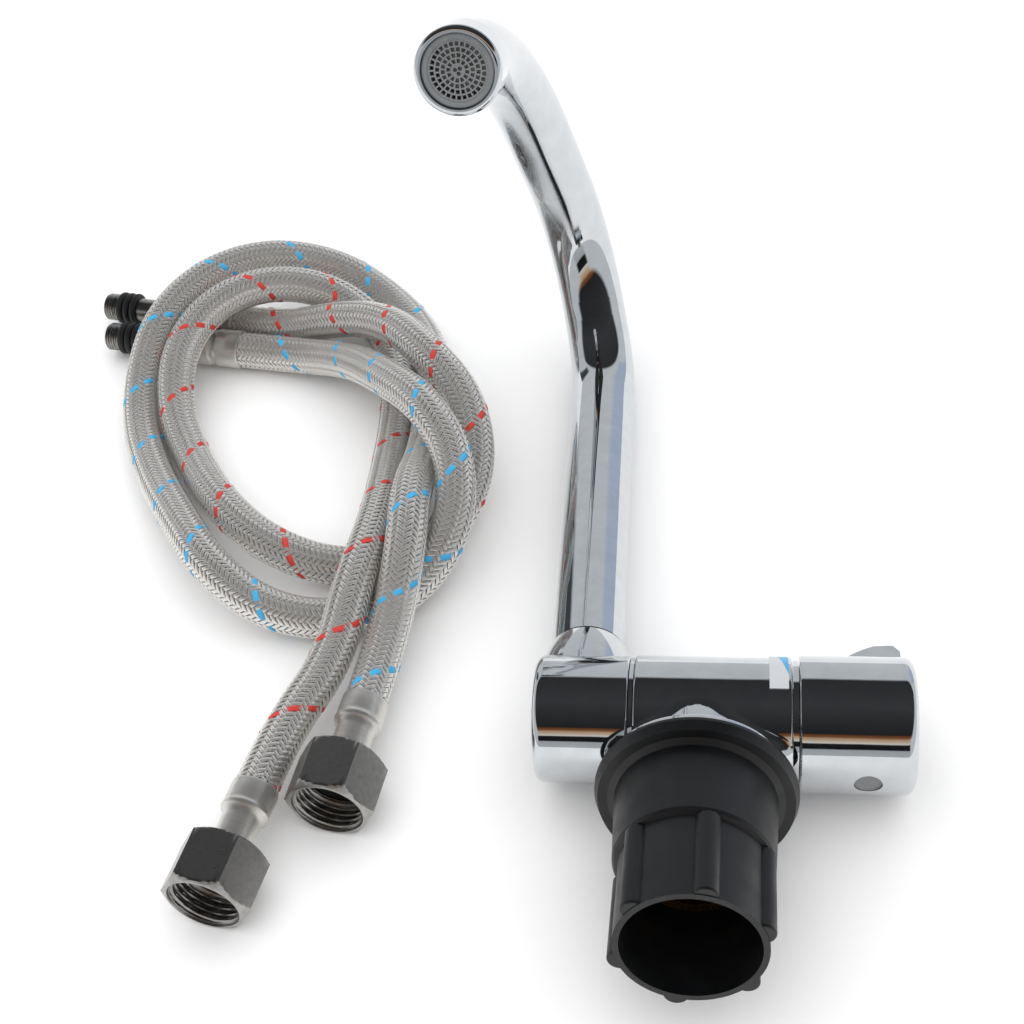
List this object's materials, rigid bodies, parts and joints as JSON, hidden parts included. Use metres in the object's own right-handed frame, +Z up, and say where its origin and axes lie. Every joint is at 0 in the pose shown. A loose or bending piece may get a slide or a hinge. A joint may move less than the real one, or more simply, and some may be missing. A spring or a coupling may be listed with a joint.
{
  "type": "caravan tap",
  "caption": "Folding and swivelling single lever tap lying beside its two braided hoses, with black fixing nut, aerator and union nuts.",
  "frame": {"origin": "on the table under the middle of the lying tap's bounding box, hoses left out", "axes": "+X towards the handle, +Y along the table towards the spout's top, +Z up from the table"},
  "size_m": [0.2821, 0.2975, 0.162],
  "materials": {
    "chrome": "polished",
    "brass": "machined",
    "nickel_brass": "nickel plated",
    "stainless_steel": "satin",
    "braided_hose": "rubber hose under a steel braid",
    "black_plastic": "fine matt",
    "grey_plastic": "satin",
    "white_plastic": "satin",
    "ceramic_disc": "lapped",
    "black_rubber": "matt",
    "printed_film": "printed"
  },
  "bodies": {
    "tap_body": {"tee_body": "chrome", "base_gasket": "black_rubber", "threaded_shank": "brass", "spindle": "brass", "spindle_o_rings": "black_rubber", "bearing_washer": "chrome", "retaining_screw": "stainless_steel", "cartridge_body": "white_plastic", "fixed_disc": "ceramic_disc", "cartridge_nut": "chrome", "temperature_mark": "printed_film", "blue_hose": "braided_hose", "blue_union_ferrule": "stainless_steel", "blue_nipple": "nickel_brass", "blue_washer": "black_rubber", "blue_tail_ferrule": "stainless_steel", "blue_tail": "nickel_brass", "red_hose": "braided_hose", "red_union_ferrule": "stainless_steel", "red_nipple": "nickel_brass", "red_washer": "black_rubber", "red_tail_ferrule": "stainless_steel", "red_tail": "nickel_brass", "tail_o_rings": "black_rubber"},
    "nut": {"fixing_nut": "black_plastic"},
    "barrel": {"spout_barrel": "chrome", "end_cap": "chrome", "collar_grub_screw": "stainless_steel"},
    "spout": {"spout_tail": "brass", "spout_o_rings": "black_rubber", "spout_tube": "chrome", "spout_head": "chrome", "aerator_seal": "black_rubber", "aerator_housing": "grey_plastic", "aerator_mesh": "stainless_steel", "aerator_screen": "grey_plastic"},
    "handle": {"knob": "chrome", "grub_screw": "stainless_steel", "screw_plug": "grey_plastic", "cartridge_stem": "white_plastic", "moving_disc": "ceramic_disc"},
    "blue_nut": {"blue_union_nut": "nickel_brass"},
    "red_nut": {"red_union_nut": "nickel_brass"}
  },
  "joints": [
    {"name": "spout_fold", "type": "hinge", "parent": "tap_body", "child": "barrel", "pos_m": [-0.02061, -0.05974, 0.02136], "axis": [1, 0, 0], "range_deg": [0, 90]},
    {"name": "spout_swivel", "type": "hinge", "parent": "barrel", "child": "spout", "pos_m": [-0.02061, -0.05974, 0.02136], "axis": [-0.0293, 0.9967, -0.0758], "range_deg": [-40, 73]},
    {"name": "handle_turn", "type": "hinge", "parent": "tap_body", "child": "handle", "pos_m": [0.03514, -0.05974, 0.02136], "axis": [1, 0, 0], "range_deg": [0, 110]},
    {"name": "fixing_nut_travel", "type": "slide", "parent": "tap_body", "child": "nut", "axis": [0, -0.9842, 0.1769], "range_m": [0, 0.022]},
    {"name": "blue_nut_turn", "type": "hinge", "parent": "tap_body", "child": "blue_nut", "pos_m": [-0.08846, -0.07628, 0.0116], "axis": [-0.1265, -0.992, 0], "continuous": true},
    {"name": "red_nut_turn", "type": "hinge", "parent": "tap_body", "child": "red_nut", "pos_m": [-0.11586, -0.10697, 0.0115], "axis": [-0.1755, -0.9845, 0], "continuous": true}
  ]
}
